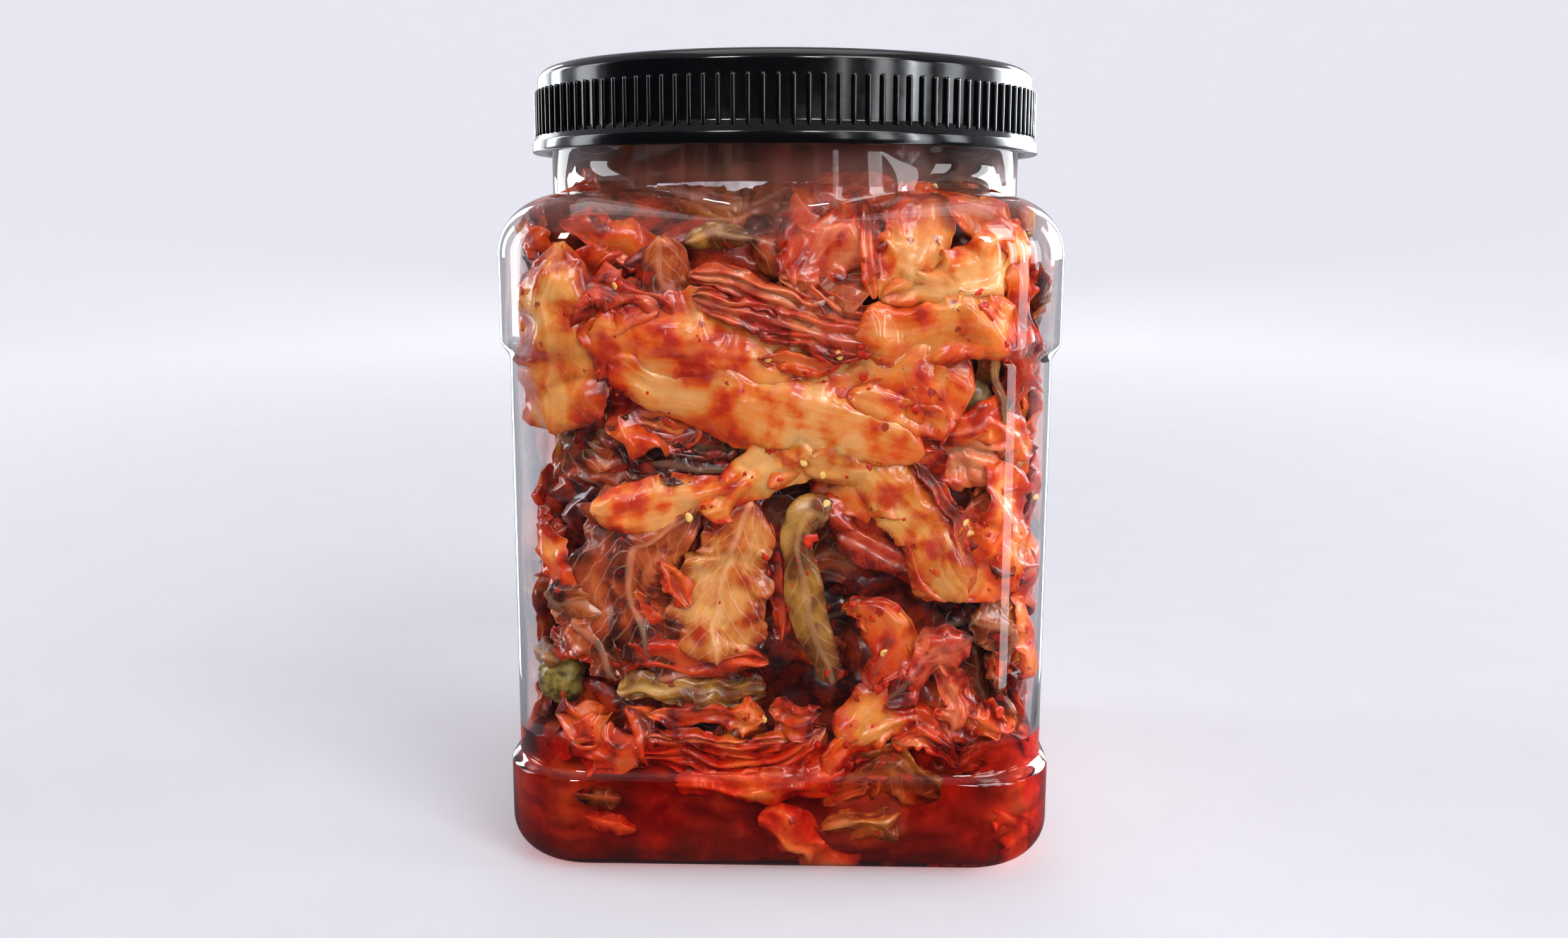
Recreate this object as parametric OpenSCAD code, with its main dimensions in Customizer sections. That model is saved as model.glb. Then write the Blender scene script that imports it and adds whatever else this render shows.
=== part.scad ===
// A square clear plastic jar of cut cabbage kimchi, with a black ribbed lid.
// It stands upright in millimetres, +Z up, with the origin at the middle of its base.
// The jar's four flat faces look along X and Y, and the front is the -Y face.

/* [Jar] */
// Width across the flat faces, at the bands above and below the label panel
body_w = 116.4; // [112:0.2:140]
// Radius of the upright corners
corner_r = 18; // [14:0.5:26]
// Thickness of the jar's walls
wall = 1.2; // [0.8:0.1:2.4]
// Thickness of the jar's floor
floor_t = 1.6; // [1:0.1:3]
// Radius of the rounding between the walls and the base
heel_r = 8.5; // [5:0.5:11]
// How far the label panel is set in from the bands
panel_inset = 1.6; // [0.6:0.1:2.4]
// Height of the band below the label panel
lower_band_h = 20.6; // [14:0.2:30]
// Height of the slope from the lower band in to the panel
lower_step_h = 2.4; // [1.4:0.1:5]
// Height of the label panel
panel_h = 84.4; // [60:0.2:110]
// Height of the slope from the panel out to the upper band
upper_step_h = 4; // [2:0.1:7]
// Height of the band above the label panel
upper_band_h = 17.1; // [10:0.1:25]
// Height of the shoulder between the upper band and the neck
shoulder_h = 13.5; // [9:0.1:18]
// How much lower the shoulder meets the neck at the middle of each face
face_dip = 2; // [0:0.1:4]

/* [Neck] */
// Outer diameter of the neck
neck_d = 106.4; // [90:0.2:110]
// Height of the neck that shows below the lid
neck_show = 8.5; // [5:0.1:14]
// Radius of the hollow where the shoulder runs up into the neck
neck_blend = 3; // [0.5:0.1:4]
// How far the bead stands out from the neck under the lid's skirt
bead_out = 0.8; // [0.4:0.1:1.2]

/* [Lid] */
// Height of the lid
lid_h = 18.4; // [15:0.1:24]
// Room between the neck and the lid's skirt
skirt_room = 1.5; // [1.3:0.1:2.5]
// Thickness of the lid's skirt
skirt_t = 1.4; // [1:0.1:2]
// Thickness of the lid's top
lid_top_t = 1.5; // [1:0.1:2.2]
// Depth of the shallow recess in the lid's top
recess_depth = 0.6; // [0.3:0.1:1]
// Width of the raised border round that recess
border_w = 6.5; // [4:0.1:12]
// How far the flange at the lid's foot stands out from the skirt
flange_out = 1.4; // [1:0.1:2.5]
// Height of the flange
flange_h = 2.5; // [1.5:0.1:4]
// Height of the slope from the flange in to the skirt
flange_slope_h = 2; // [1:0.1:3]
// Number of grip ribs round the lid
rib_count = 120; // [60:4:140]
// Width of a grip rib
rib_w = 1; // [0.6:0.1:1.2]
// How far a grip rib stands out from the skirt
rib_out = 0.85; // [0.4:0.05:0.95]
// Plain height of the skirt above the ribs
plain_h = 3.2; // [2:0.1:5]

/* [Filling] */
// Height of the brine's surface above the base
brine_level = 28.4; // [20:0.2:60]
// Clearance between the filling and the jar's walls
fill_gap = 0.3; // [0.2:0.05:0.6]
// Height below the neck at which the heap's sides end
heap_below_neck = 5; // [2:0.5:20]
// Rise of the heap's crown above its sides
heap_crown = 7; // [2:0.5:9]
// Depth of the hollows between the cabbage pieces in the heap's sides
heap_relief = 3.2; // [1:0.1:5]
// Diameter of the rolled green piece low in the left front corner
low_green_d = 11; // [8:0.5:14]
// Length of that piece
low_green_len = 13; // [9:0.5:18]
// Height of its lower end above the brine
low_green_rise = 4.6; // [1:0.2:40]
// Diameter of the rolled green piece high in the right front corner
high_green_d = 8; // [6:0.5:12]
// Length of that piece
high_green_len = 9.5; // [7:0.5:14]
// Depth of its middle below the top of the label panel
high_green_drop = 7.4; // [5:0.2:40]

/* [Hidden] */
$fn = 128;

clear_plastic = [0.86, 0.9, 0.93, 0.3];

half_w = body_w / 2;
neck_r = neck_d / 2;
corner_at = half_w - corner_r;

// Heights of the jar's zones, from the base up
panel_z = lower_band_h + lower_step_h;
panel_top_z = panel_z + panel_h;
band_z = panel_top_z + upper_step_h;
shoulder_z = band_z + upper_band_h;
neck_z = shoulder_z + shoulder_h;
lid_z = neck_z + neck_show;
lid_top_z = lid_z + lid_h;
rim_z = lid_top_z - recess_depth - lid_top_t;

// The shoulder draws in along a squarish quarter oval until its corners meet the neck
shoulder_power = 2.2;
shoulder_draw = corner_at - (neck_r - corner_r) / sqrt(2);

// Radii of the lid
skirt_in_r = neck_r + skirt_room;
skirt_r = skirt_in_r + skirt_t;
flange_r = skirt_r + flange_out;
bevel_r = skirt_r - 0.5;
lid_top_r = skirt_r - 3.5;
bevel_z = lid_top_z - 1.7;

// Bead on the neck, just inside the skirt's foot
bead_z = lid_z + 0.4;
bead_h = 1.6;

// The heap starts on the brine and ends inside the neck
heap_rim_z = neck_z - heap_below_neck;
heap_r = neck_r - wall - fill_gap;
fill_inset = panel_inset + wall + fill_gap;

function ease(u) = let (v = min(max(u, 0), 1)) v * v * (3 - 2 * v);
function mix(a, b, u) = a + (b - a) * u;

// Larger of two lengths, with a hollow of size k where they cross
function blended_max(a, b, k) = max(a, b) + pow(max(k - abs(a - b), 0), 2) / (4 * k);

// Angle folded into the eighth between the middle of a face and a corner
function folded(a) = 45 - abs(a - 90 * floor(a / 90) - 45);

// Distance from the axis to a square with round corners, of half width h and corner radius r
function square_reach(a, h, r) =
    let (b = folded(a), c = h - r, s = cos(b) + sin(b))
    h * tan(b) <= c ? h / cos(b) : c * s + sqrt(c * c * s * s - 2 * c * c + r * r);

// How far a rounded foot edge of radius q draws in at height y above its own floor
function heel_inset(y, q) = y >= q ? 0 : q - sqrt(q * q - (q - y) * (q - y));

// How far the shoulder has drawn in at a height, at angle a
function shoulder_inset(z, a) =
    let (low = z + face_dip * pow(cos(2 * a), 2) - shoulder_z)
    shoulder_draw * (1 - pow(1 - pow(min(max(low / shoulder_h, 0), 1), shoulder_power), 1 / shoulder_power));

// How far the panel is set in at a height
function panel_inset_at(z) =
    panel_inset * (ease((z - lower_band_h) / lower_step_h) - ease((z - panel_top_z) / upper_step_h));

// Distance from the axis to the jar's surface at angle a and height z, moved in by t,
// where the inside of the jar stands on a floor at height foot
function jar_reach(a, z, t, foot) =
    let (heel = heel_inset(z - foot, heel_r - min(t, wall)),
         h = half_w - t - heel - panel_inset_at(z) - shoulder_inset(z, a),
         square = square_reach(a, h, max(corner_r - t - heel, 0.5)))
    z <= shoulder_z ? square : z >= neck_z ? neck_r - t : blended_max(square, neck_r - t, neck_blend);

// The heap fills the panel's outline, and draws in to the neck's bore above it
function heap_outline(a, z) =
    mix(square_reach(a, half_w - fill_inset, corner_r - wall - fill_gap), heap_r,
        ease((z - panel_top_z) / (shoulder_z - panel_top_z)));

// Hollows between the cabbage pieces, as a share from 0 to 1
function hollow(a, z) = 0.5 + 0.3 * sin(9 * a + 9 * z) + 0.2 * sin(13 * a - 7 * z + 60);

// Room in front of a green piece, which shows half bare in the heap's side
function green_room(p, centre, d) = 0.62 * d * pow(max(1 - pow(norm(p - centre) / (1.5 * d), 2), 0), 2);

function heap_point(a, z) =
    let (r = heap_outline(a, z), p = [r * cos(a), r * sin(a), z],
         in = heap_relief * hollow(a, z) + green_room(p, low_green_at, low_green_d)
            + green_room(p, high_green_at, high_green_d))
    [(r - in) * cos(a), (r - in) * sin(a), z];

// Crown of the heap at a share u of the way from its sides to its middle
function crown_point(a, u) =
    let (p = heap_point(a, heap_rim_z), rise = heap_crown * (u * (1.7 - 0.7 * u) + 0.12 * sin(5 * a) * u * (1 - u)))
    [p.x * (1 - u), p.y * (1 - u), heap_rim_z + rise + 1.2 * sin(3 * a + 400 * u) * (1 - u)];

// Places of the green pieces, against the corner's inside
panel_corner_at = half_w - panel_inset - corner_r;
function green_at(side, turn, d, z, back) =
    let (reach = corner_r - wall - 2 * fill_gap - d / 2 - back)
    [side * (panel_corner_at + reach * cos(turn)), -panel_corner_at - reach * sin(turn), z];
low_green_at = green_at(-1, 35, low_green_d, brine_level + low_green_rise + low_green_len / 2, 1);
high_green_at = green_at(1, 84, high_green_d, panel_top_z - high_green_drop, 2.5);
low_green_tilt = 8;
high_green_tilt = -20;

// Directions of the ring points: four to each half face and four to each half corner
face_turn = atan(corner_at / half_w);
eighth = concat([for (i = [0:3]) face_turn * i / 4],
    [for (i = [0:3]) let (f = 90 * i / 8)
        atan((corner_at + corner_r * sin(f)) / (corner_at + corner_r * cos(f)))]);
quarter = concat(eighth, [45], [for (i = [7:-1:1]) 90 - eighth[i]]);
turns = [for (q = [0:3]) for (b = quarter) 90 * q + b];

// Heights at which the jar's surface has a ring of points, above its foot
function heel_levels(foot, q) = [for (i = [0:4]) foot + q * (1 - cos(22.5 * i))];
step_shares = [0, 0.33, 0.67, 1];
body_levels = concat([for (s = step_shares) lower_band_h + lower_step_h * s],
    [for (s = step_shares) panel_top_z + upper_step_h * s],
    [for (s = [0, 0.22, 0.42, 0.6, 0.75, 0.88, 0.97]) shoulder_z + shoulder_h * s], [neck_z]);

function jar_ring(z, t, foot) =
    [for (a = turns) let (r = jar_reach(a, z, t, foot)) [r * cos(a), r * sin(a), z]];

// Middle of a ring, which its flat cap fans out from
function middle(ring) = [0, 0, ring[0].z];

// Closed solid through a list of rings, from its first ring's cap to its last ring's
module loft(rings) {
    n = len(rings[0]);
    count = len(rings);
    last = (count - 1) * n;
    polyhedron(
        points = concat([for (ring = rings) each ring], [middle(rings[0]), middle(rings[count - 1])]),
        faces = concat(
            [for (i = [0:n - 1]) [i, (i + 1) % n, count * n]],
            [for (j = [0:count - 2]) for (i = [0:n - 1])
                [j * n + i, (j + 1) * n + i, (j + 1) * n + (i + 1) % n, j * n + (i + 1) % n]],
            [for (i = [0:n - 1]) [last + (i + 1) % n, last + i, count * n + 1]]));
}

// Blow-moulded body: the outside from the base up to the neck, then the inside down to the floor
module jar() {
    outer = [for (z = concat(heel_levels(0, heel_r), body_levels)) jar_ring(z, 0, 0)];
    levels = concat(heel_levels(floor_t, heel_r - wall), body_levels);
    inner = [for (i = [len(levels) - 1:-1:0]) jar_ring(levels[i], wall, floor_t)];
    color(clear_plastic) loft(concat(outer, inner));
}

// Round neck, one with the body, with a bead inside the foot of the lid's skirt
module neck() {
    bore_r = neck_r - wall;
    bead_r = neck_r + bead_out;
    color(clear_plastic) rotate_extrude() polygon([
        [bore_r, neck_z], [neck_r, neck_z], [neck_r, bead_z], [bead_r, bead_z + bead_h / 4],
        [bead_r, bead_z + bead_h * 3 / 4], [neck_r, bead_z + bead_h], [neck_r, rim_z], [bore_r, rim_z]]);
}

// Injection-moulded lid: a turned shell that sits on the neck's rim, with upright grip ribs
module lid() {
    rib_z = lid_z + flange_h + flange_slope_h / 2;
    rib_top_z = lid_top_z - plain_h - (lid_top_z - bevel_z);
    color([0.05, 0.05, 0.06]) {
        rotate_extrude() polygon([
            [skirt_in_r, lid_z], [flange_r, lid_z], [flange_r, lid_z + flange_h],
            [skirt_r, lid_z + flange_h + flange_slope_h], [skirt_r, bevel_z - 0.8],
            [bevel_r, bevel_z], [lid_top_r, lid_top_z], [lid_top_r - border_w, lid_top_z],
            [lid_top_r - border_w - recess_depth, lid_top_z - recess_depth],
            [0, lid_top_z - recess_depth], [0, rim_z], [skirt_in_r, rim_z]]);
        for (i = [0:rib_count - 1])
            rotate(360 * i / rib_count)
                translate([skirt_r + rib_out - rib_w / 2, 0, rib_z])
                    cylinder(h = rib_top_z - rib_z, d = rib_w, $fn = 32);
    }
}

// Rolled piece of dark green leaf, an uneven ovoid of revolution grown by a clearance
module green_roll(centre, d, length, tilt, clearance) {
    translate(centre) rotate([0, tilt, 0]) rotate_extrude()
        polygon([for (t = [0:15:180])
            [(d / 2 + clearance) * sin(t) * (1 - 0.1 * cos(t)) * (1 - 0.05 * cos(4 * t)),
                -(length / 2 + clearance) * cos(t)]]);
}

// Heap of cut cabbage, from the brine's surface up into the neck, with beds for the green pieces
module kimchi() {
    side_count = 11;
    sides = [for (i = [0:side_count])
        [for (a = turns) heap_point(a, mix(brine_level, heap_rim_z, i / side_count))]];
    crown = [for (u = [0.14, 0.34, 0.56, 0.78, 0.94]) [for (a = turns) crown_point(a, u)]];
    color([0.78, 0.34, 0.16]) difference() {
        loft(concat(sides, crown));
        green_roll(low_green_at, low_green_d, low_green_len, low_green_tilt, fill_gap);
        green_roll(high_green_at, high_green_d, high_green_len, high_green_tilt, fill_gap);
    }
}

// Red brine in the jar's foot, filled level up to the heap
module brine() {
    levels = [for (z = concat(heel_levels(floor_t, heel_r - wall), body_levels)) if (z < brine_level - 0.5) z];
    color([0.5, 0.08, 0.03])
        loft([for (z = concat(levels, [brine_level])) jar_ring(z, wall + fill_gap, floor_t)]);
}

module low_green_piece() {
    color([0.2, 0.2, 0.1]) green_roll(low_green_at, low_green_d, low_green_len, low_green_tilt, 0);
}
module high_green_piece() {
    color([0.34, 0.3, 0.2]) green_roll(high_green_at, high_green_d, high_green_len, high_green_tilt, 0);
}

jar();
neck();
lid();
kimchi();
brine();
low_green_piece();
high_green_piece();
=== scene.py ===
import itertools
import math
from collections import namedtuple

import bpy
import numpy as np
from mathutils import Matrix, Vector


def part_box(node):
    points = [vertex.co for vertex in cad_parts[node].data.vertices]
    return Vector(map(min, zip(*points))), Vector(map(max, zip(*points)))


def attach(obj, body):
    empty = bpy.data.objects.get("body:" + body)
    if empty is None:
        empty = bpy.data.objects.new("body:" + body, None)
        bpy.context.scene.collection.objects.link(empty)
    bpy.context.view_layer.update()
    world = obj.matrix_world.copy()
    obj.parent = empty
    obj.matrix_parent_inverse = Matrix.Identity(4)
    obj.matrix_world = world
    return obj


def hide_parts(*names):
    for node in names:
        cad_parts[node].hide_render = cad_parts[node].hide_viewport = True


# A square clear jar of kimchi with a black ribbed lid, built over its CAD frame. The object's lengths
# are in millimetres until a mesh is made. The stage, lamps and camera are in metres. +Z is up, and the
# front is the -Y face.

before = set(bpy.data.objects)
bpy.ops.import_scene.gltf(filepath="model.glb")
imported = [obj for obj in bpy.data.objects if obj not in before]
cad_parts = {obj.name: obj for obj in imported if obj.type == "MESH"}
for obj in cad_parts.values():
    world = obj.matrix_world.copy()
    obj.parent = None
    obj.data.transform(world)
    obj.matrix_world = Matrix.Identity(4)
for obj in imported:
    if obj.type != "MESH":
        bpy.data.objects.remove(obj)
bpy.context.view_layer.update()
rng = np.random.default_rng(11)


# ---- Sizes ----

def corners(node):
    """Lowest and highest corner of a CAD node, in millimetres."""
    low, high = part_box(node)
    return np.array(low) * 1000, np.array(high) * 1000


# Sizes in the CAD source that the frame's boxes don't give
WALL = 1.2
FLOOR_T = 1.6
CORNER_R = 18
HEEL_R = 8.5
PANEL_INSET = 1.6
LOWER_BAND_H = 20.6
LOWER_STEP_H = 2.4
UPPER_STEP_H = 4
UPPER_BAND_H = 17.1
SHOULDER_H = 13.5
FACE_DIP = 2
SHOULDER_POWER = 2.2
NECK_BLEND = 3
BEAD_OUT = 0.8

# Sizes worked out from the frame
HALF_W = corners("jar")[1][0]
NECK_Z = corners("jar")[1][2]
NECK_R = corners("neck")[1][0] - BEAD_OUT
RIM_Z = corners("neck")[1][2]
LID_Z = corners("lid")[0][2]
LID_TOP_Z = corners("lid")[1][2]
BRINE_Z = corners("brine")[1][2]
HEAP_TOP_Z = corners("kimchi")[1][2]
SHOULDER_Z = NECK_Z - SHOULDER_H
PANEL_TOP_Z = SHOULDER_Z - UPPER_BAND_H - UPPER_STEP_H
CORNER_AT = HALF_W - CORNER_R
SHOULDER_DRAW = CORNER_AT - (NECK_R - CORNER_R) / math.sqrt(2)
INNER_HALF = HALF_W - PANEL_INSET - WALL
FACE_H = SHOULDER_Z - BRINE_Z


# ---- The jar's shape, as the CAD source works it out ----

def ease(share):
    share = np.clip(share, 0, 1)
    return share * share * (3 - 2 * share)


def square_reach(turn, half, radius):
    """Distance from the axis to a square with round corners, at angles in degrees."""
    fold = np.radians(45 - np.abs(turn - 90 * np.floor(turn / 90) - 45))
    c = half - radius
    s = np.cos(fold) + np.sin(fold)
    in_corner = c * s + np.sqrt(np.maximum(c * c * s * s - 2 * c * c + radius * radius, 0))
    return np.where(half * np.tan(fold) <= c, half / np.cos(fold), in_corner)


def jar_reach(turn, z, inset=0.0, foot=0.0):
    """Distance from the axis to the jar's surface moved in by inset, over a floor at height foot."""
    heel_r = HEEL_R - min(inset, WALL)
    above = np.clip(z - foot, 0, heel_r)
    heel = heel_r - np.sqrt(np.maximum(heel_r ** 2 - (heel_r - above) ** 2, 0))
    panel = PANEL_INSET * (ease((z - LOWER_BAND_H) / LOWER_STEP_H) - ease((z - PANEL_TOP_Z) / UPPER_STEP_H))
    low = np.clip((z + FACE_DIP * np.cos(np.radians(2 * turn)) ** 2 - SHOULDER_Z) / SHOULDER_H, 0, 1)
    shoulder = SHOULDER_DRAW * (1 - (1 - low ** SHOULDER_POWER) ** (1 / SHOULDER_POWER))
    half = HALF_W - inset - heel - panel - shoulder
    square = square_reach(turn, half, np.maximum(CORNER_R - inset - heel, 0.5))
    neck = NECK_R - inset
    hollow = np.maximum(NECK_BLEND - np.abs(square - neck), 0) ** 2 / (4 * NECK_BLEND)
    blended = np.maximum(square, neck) + hollow
    return np.where(z <= SHOULDER_Z, square, np.where(z >= NECK_Z, neck, blended))


def reach_in(turn, z):
    """Distance from the axis to the inside of the jar."""
    return jar_reach(turn, np.maximum(z, FLOOR_T), WALL, FLOOR_T)


# ---- Meshes ----

def show(name, data):
    """Puts a mesh, lamp or camera in the scene."""
    made = bpy.data.objects.new(name, data)
    bpy.context.scene.collection.objects.link(made)
    return made


def full_turn(count):
    """Even angles all round, in radians."""
    return np.linspace(0, 2 * math.pi, count, endpoint=False)


def ring(turns, reach, z):
    """Points at one height, at angles in degrees and distances from the axis."""
    angles = np.radians(turns)
    return np.stack([reach * np.cos(angles), reach * np.sin(angles), np.full(len(turns), z)], -1)


def skin(rings, loop=False):
    """Points, quads and cap triangles of a closed solid through rings of points, facing out. In a
    loop the last ring joins the first, and there are no caps."""
    count, around = rings.shape[:2]
    points, triangles = rings.reshape(-1, 3), np.zeros((0, 3), int)
    here = np.arange(around)
    there = (here + 1) % around
    start = np.arange(count if loop else count - 1)[:, None] * around
    after = (start + around) % (count * around)
    quads = np.stack([start + here, start + there, after + there, after + here], -1).reshape(-1, 4)
    if not loop:
        points = np.vstack([points, rings[0].mean(0), rings[-1].mean(0)])
        last = (count - 1) * around
        low_cap = np.stack([there, here, np.full(around, count * around)], -1)
        high_cap = np.stack([last + here, last + there, np.full(around, count * around + 1)], -1)
        triangles = np.vstack([low_cap, high_cap])
    a, b, c, d = (points[quads[:, i]] - points.mean(0) for i in range(4))
    volume = np.einsum("ij,ij->", np.cross(a, b), c) + np.einsum("ij,ij->", np.cross(a, c), d)
    if volume < 0:
        return points, quads[:, ::-1], triangles[:, ::-1]
    return points, quads, triangles


class Pile:
    """Many closed solids that become one mesh, with named values at their points."""

    def __init__(self):
        self.points, self.quads, self.triangles, self.values, self.count = [], [], [], {}, 0

    def add(self, rings, loop=False, **values):
        """Adds a solid. Only one with caps takes values, one for each point of its rings."""
        points, quads, triangles = skin(rings, loop)
        self.points.append(points)
        self.quads.append(quads + self.count)
        self.triangles.append(triangles + self.count)
        self.count += len(points)
        for name, value in values.items():
            width = value.shape[2:]
            ends = [value[0].mean(0)[None], value[-1].mean(0)[None]]
            flat = np.concatenate([value.reshape(-1, *width), *ends])
            self.values.setdefault(name, []).append(flat)

    def make(self, name, material, slot, *nodes):
        """Makes the mesh piece, which takes the place of the CAD nodes named."""
        mesh = bpy.data.meshes.new(name)
        faces = np.vstack(self.quads).tolist() + np.vstack(self.triangles).tolist()
        mesh.from_pydata((np.vstack(self.points) / 1000).tolist(), [], faces)
        mesh.polygons.foreach_set("use_smooth", [True] * len(mesh.polygons))
        for key, parts in self.values.items():
            values = np.concatenate(parts).astype(np.float32)
            kind, field = ("FLOAT_VECTOR", "vector") if values.ndim == 2 else ("FLOAT", "value")
            mesh.attributes.new(key, kind, "POINT").data.foreach_set(field, values.ravel())
        mesh.materials.append(material)
        piece = show(name, mesh)
        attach(piece, "root")
        if nodes:
            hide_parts(*nodes)


def flow(stops, count):
    """Smooth line through stops, at count even steps."""
    p = np.asarray(stops, float)
    p = np.concatenate([[2 * p[0] - p[1]], p, [2 * p[-1] - p[-2]]])
    at = np.linspace(0, len(p) - 3, count)
    i = np.minimum(at.astype(int), len(p) - 4)
    f = (at - i).reshape(-1, *[1] * (p.ndim - 1))
    a, b, c, d = p[i], p[i + 1], p[i + 2], p[i + 3]
    curve = 2 * b + (c - a) * f + (2 * a - 5 * b + 4 * c - d) * f ** 2 + (3 * b - a - 3 * c + d) * f ** 3
    return 0.5 * curve


def ripple(points, size, octaves=2):
    """Smooth random field of about -1 to 1 over points, with hills of about that size."""
    waves, finer, fainter, high = 5, 0.45, 0.5, 2.6
    total = np.zeros(points.shape[:-1])
    for octave in range(octaves):
        for _ in range(waves):
            way = rng.normal(size=3)
            way *= 2 * math.pi / (size * finer ** octave) / np.linalg.norm(way)
            total += np.sin(points @ way + rng.uniform(0, 2 * math.pi)) * fainter ** octave
    return total / high


def unit(vectors):
    return vectors / np.maximum(np.linalg.norm(vectors, axis=-1, keepdims=True), 1e-9)


def settle(points, bite=0.5, soft=1.0):
    """Presses points that lie past the jar's inside on to its wall, bite deep, and starts to slow them
    soft in front of that."""
    floor_bite, headroom = 0.3, 2.5
    turn = np.degrees(np.arctan2(points[..., 1], points[..., 0]))
    reach = np.hypot(points[..., 0], points[..., 1])
    wall = reach_in(turn, points[..., 2]) + bite
    over = np.maximum(reach - wall + soft, 0)
    pressed = np.where(over > 0, wall - soft + soft * (1 - np.exp(-over / soft)), reach)
    share = pressed / np.maximum(reach, 1e-6)
    z = np.clip(points[..., 2], FLOOR_T - floor_bite, HEAP_TOP_Z + headroom)
    return np.stack([points[..., 0] * share, points[..., 1] * share, z], -1)


# ---- Cabbage ----

# How each kind of piece is shaped: its width along its length, its edge's share of the thickness, its
# lengthwise folds in millimetres and their number, the ruffle of its edges, how ragged its outline is,
# its own unevenness, and how long its round ends are
Kind = namedtuple("Kind", "shape edge fold folds frill rag swell tip")
KINDS = {
    "slab": Kind((0.6, 0.92, 1, 0.92, 0.5), 0.25, 0.2, 4, 0.6, 0.05, 0.9, 0.2),
    "stem": Kind((0.85, 1, 0.95, 0.95, 0.8), 0.35, 0.2, 4, 0.4, 0.05, 0.7, 0.25),
    "sheet": Kind((0.7, 0.9, 1, 1, 0.9), 0.3, 0.35, 4, 0.9, 0.07, 1.2, 0.2),
    "fan": Kind((0.45, 0.8, 1, 1, 0.9), 0.28, 0.5, 5, 1.1, 0.1, 1.2, 0.2),
    "pleat": Kind((0.6, 1, 1, 0.95, 0.7), 0.35, 1.1, 6, 1.0, 0.12, 1.4, 0.3),
    "frill": Kind((0.6, 1, 0.95, 1, 0.7), 0.3, 0.8, 4, 1.6, 0.2, 1.7, 0.5),
    "curl": Kind((0.55, 0.9, 1, 0.9, 0.5), 0.45, 0.25, 3, 0.6, 0.1, 0.9, 0.6),
}
SMOOTH_KINDS = ("slab", "stem", "sheet")

# A front leaf whose spots are all lower than this lies in the brine
SUNK = -0.1

# Colour of each look: redness at the start, middle and end, added redness of the edges, and how pink,
# how olive and how veined it is
Look = namedtuple("Look", "start middle end edge pink olive veins")
LOOKS = {
    "pale": Look(0.26, 0.02, 0.2, 0.34, 0, 0, 0.1),
    "peach": Look(0.36, 0.14, 0.3, 0.34, 0.1, 0, 0.2),
    "golden": Look(0.32, 0.2, 0.3, 0.3, 0, 0.25, 0.3),
    "orange": Look(0.5, 0.34, 0.46, 0.25, 0, 0, 0.3),
    "flame": Look(0.56, 0.48, 0.54, 0.12, 0, 0, 0.2),
    "red": Look(0.74, 0.66, 0.7, 0.1, 0.1, 0, 0.1),
    "rose": Look(0.38, 0.32, 0.4, 0.2, 0.8, 0, 0.3),
    "pink": Look(0.36, 0.3, 0.4, 0.2, 1, 0, 0.4),
    "plum": Look(0.74, 0.72, 0.78, 0, 1, 0.15, 0.5),
    "mauve": Look(0.58, 0.54, 0.6, 0.1, 0.75, 0.35, 0.7),
    "tan": Look(0.3, 0.16, 0.24, 0.3, 0.35, 0.35, 1),
    "olive": Look(0.36, 0.26, 0.4, 0.2, 0, 0.85, 0.6),
    "green": Look(0.7, 0.62, 0.7, 0.1, 0, 1, 0.6),
    "brown": Look(0.66, 0.6, 0.7, 0, 0.4, 0.55, 0.5),
}


def quarter_turn(vectors, side):
    """Turns vectors from the front, side 0, to another side of the jar."""
    x, y = vectors[..., 0], vectors[..., 1]
    for _ in range(side):
        x, y = -y, x
    return np.stack([x, y, vectors[..., 2]], -1)


def on_face(spots, deep, side):
    """Points deep behind a side's wall, and the outward directions there. A spot is a share across the
    inside, from -1 to 1, and a share up from the brine's level, at 0, to the shoulder, at 1."""
    spots = np.asarray(spots, float)
    x = np.clip(spots[:, 0], -1, 1) * INNER_HALF
    z = BRINE_Z + spots[:, 1] * FACE_H
    radius = CORNER_R - WALL
    past = np.sign(x) * np.maximum(np.abs(x) - (INNER_HALF - radius), 0)
    drop = np.sqrt(radius ** 2 - past ** 2)
    out = np.stack([past, -drop, np.zeros_like(x)], -1) / radius
    turn = np.degrees(np.arctan2(radius - INNER_HALF - drop, x))
    reach = reach_in(turn, z)
    return quarter_turn(ring(turn, reach, z) - out * deep, side), quarter_turn(out, side)


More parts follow.
